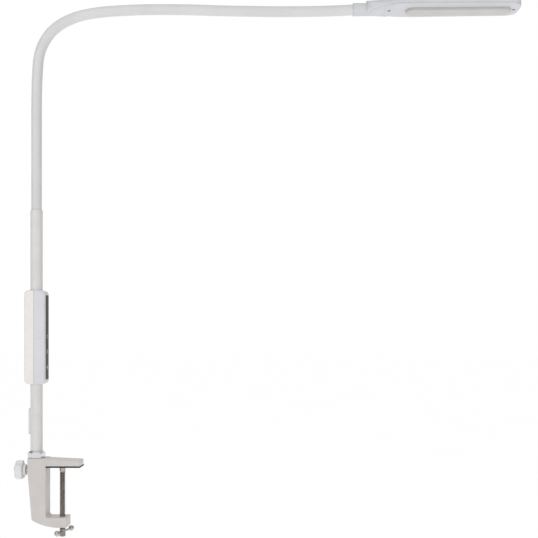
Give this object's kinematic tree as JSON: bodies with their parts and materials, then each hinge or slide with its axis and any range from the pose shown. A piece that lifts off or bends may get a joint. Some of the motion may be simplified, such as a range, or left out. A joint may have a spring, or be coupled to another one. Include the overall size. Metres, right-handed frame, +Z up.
{
  "type": "clamp desk lamp",
  "caption": "Desk lamp with a screw clamp, a swivelling pole with a touch control box, a bendable gooseneck and a flat oblong light head.",
  "frame": {"origin": "centre of the upper jaw's contact face, on top of the desk", "axes": "+X over the desk towards the light head, +Z up along the pole, +Y to the side"},
  "size_m": [0.5872, 0.044, 0.6257],
  "materials": {
    "coated_metal": "warm light grey powder coat, satin",
    "rubber_pad": "black rubber, matt",
    "steel": "bright zinc plated steel",
    "nylon": "natural nylon",
    "knob_plastic": "white moulded plastic, half gloss",
    "chrome": "polished chrome plate",
    "coated_tube": "white powder coat, satin",
    "shell_white": "white moulded plastic, fine matt",
    "shell_rear": "warm white moulded plastic, fine matt",
    "shell_front": "cool white moulded plastic, fine matt",
    "panel_black": "black acrylic, polished",
    "gilt": "plain brass",
    "lead": "black lead jacket",
    "board_green": "green solder resist",
    "board_parts": "black epoxy",
    "screw_dark": "dark steel",
    "neck_sleeve": "white flexible sleeve, satin",
    "flex_steel": "spring steel",
    "head_shell": "white moulded plastic, fine matt",
    "diffuser": "milky acrylic, unlit",
    "board_metal": "white faced aluminium board",
    "chip": "yellow light chips"
  },
  "bodies": {
    "clamp": {"clamp_body": "coated_metal", "jaw_pad": "rubber_pad"},
    "cap": {"screw_cap": "steel"},
    "screw": {"clamp_screw": "steel"},
    "bar": {"sliding_bar": "steel", "bar_balls": "steel"},
    "lock_tip": {"lock_tip": "nylon"},
    "lock": {"lock_screw": "steel", "lock_knob": "knob_plastic"},
    "pole": {"swivel_foot": "chrome", "lower_pole": "coated_tube", "cord_gland": "shell_white", "pole_lead": "lead", "rear_shell": "shell_rear", "front_shell": "shell_front", "touch_panel": "panel_black", "touch_springs": "gilt", "control_board": "board_green", "board_parts": "board_parts", "shell_screws": "screw_dark", "upper_pole": "coated_tube", "neck_jacket_0": "neck_sleeve", "neck_core_0": "flex_steel"},
    "link_1": {"neck_jacket_1": "neck_sleeve", "neck_core_1": "flex_steel"},
    "link_2": {"neck_jacket_2": "neck_sleeve", "neck_core_2": "flex_steel"},
    "link_3": {"neck_jacket_3": "neck_sleeve", "neck_core_3": "flex_steel"},
    "link_4": {"neck_jacket_4": "neck_sleeve", "neck_core_4": "flex_steel"},
    "link_5": {"neck_jacket_5": "neck_sleeve", "neck_core_5": "flex_steel"},
    "link_6": {"neck_jacket_6": "neck_sleeve", "neck_core_6": "flex_steel"},
    "link_7": {"neck_jacket_7": "neck_sleeve", "neck_core_7": "flex_steel"},
    "link_8": {"neck_jacket_8": "neck_sleeve", "neck_core_8": "flex_steel"},
    "link_9": {"neck_jacket_9": "neck_sleeve", "neck_core_9": "flex_steel"},
    "head": {"neck_jacket_10": "neck_sleeve", "neck_core_10": "flex_steel", "neck_stud": "gilt", "neck_nut": "gilt", "top_shell": "head_shell", "base_plate": "head_shell", "diffuser": "diffuser", "reflector": "diffuser", "light_board": "board_metal", "light_chips": "chip", "plate_screws": "screw_dark", "head_lead": "lead"}
  },
  "joints": [
    {"name": "screw_travel", "type": "slide", "parent": "clamp", "child": "cap", "axis": [0, 0, 1], "range_m": [-0.046, 0]},
    {"name": "screw_spin", "type": "hinge", "parent": "cap", "child": "screw", "pos_m": [-0.003, 0, -0.04], "axis": [0, 0, 1], "range_deg": [-8100, 0]},
    {"name": "bar_slide", "type": "slide", "parent": "screw", "child": "bar", "axis": [0.2756, 0.9613, 0], "range_m": [-0.0134, 0.0054]},
    {"name": "lock_travel", "type": "slide", "parent": "clamp", "child": "lock_tip", "axis": [1, 0, 0], "range_m": [-0.0021, 0]},
    {"name": "lock_spin", "type": "hinge", "parent": "lock_tip", "child": "lock", "pos_m": [-0.045, 0, -0.0037], "axis": [1, 0, 0], "range_deg": [-720, 0]},
    {"name": "pole_swivel", "type": "hinge", "parent": "clamp", "child": "pole", "pos_m": [-0.0333, 0, 0], "axis": [0, 0, 1], "continuous": true},
    {"name": "neck_1", "type": "hinge", "parent": "pole", "child": "link_1", "pos_m": [-0.0333, 0, 0.32755], "axis": [0, 1, 0], "range_deg": [-30, 25]},
    {"name": "neck_2", "type": "hinge", "parent": "link_1", "child": "link_2", "pos_m": [-0.0333, 0, 0.38505], "axis": [1, 0, 0], "range_deg": [-30, 30]},
    {"name": "neck_3", "type": "hinge", "parent": "link_2", "child": "link_3", "pos_m": [-0.03292, 0, 0.44255], "axis": [0, 1, 0], "range_deg": [-30, 25]},
    {"name": "neck_4", "type": "hinge", "parent": "link_3", "child": "link_4", "pos_m": [-0.0225, 0, 0.4983], "axis": [0.848, 0, -0.5299], "range_deg": [-30, 30]},
    {"name": "neck_5", "type": "hinge", "parent": "link_4", "child": "link_5", "pos_m": [0.02516, 0, 0.52746], "axis": [0, 1, 0], "range_deg": [-30, 25]},
    {"name": "neck_6", "type": "hinge", "parent": "link_5", "child": "link_6", "pos_m": [0.08236, 0, 0.53271], "axis": [0.0349, 0, -0.9994], "range_deg": [-30, 30]},
    {"name": "neck_7", "type": "hinge", "parent": "link_6", "child": "link_7", "pos_m": [0.13985, 0, 0.53296], "axis": [0, 1, 0], "range_deg": [-30, 25]},
    {"name": "neck_8", "type": "hinge", "parent": "link_7", "child": "link_8", "pos_m": [0.19733, 0, 0.53146], "axis": [-0.0175, 0, -0.9998], "range_deg": [-30, 30]},
    {"name": "neck_9", "type": "hinge", "parent": "link_8", "child": "link_9", "pos_m": [0.25482, 0, 0.5307], "axis": [0, 1, 0], "range_deg": [-30, 25]},
    {"name": "neck_10", "type": "hinge", "parent": "link_9", "child": "head", "pos_m": [0.31231, 0, 0.53171], "axis": [0.0349, 0, -0.9994], "range_deg": [-30, 30]}
  ],
  "couplings": [
    {"joint": "screw_travel", "follows": "screw_spin", "m_per_rad": 0.00031831},
    {"joint": "lock_travel", "follows": "lock_spin", "m_per_rad": 0.00015915}
  ]
}
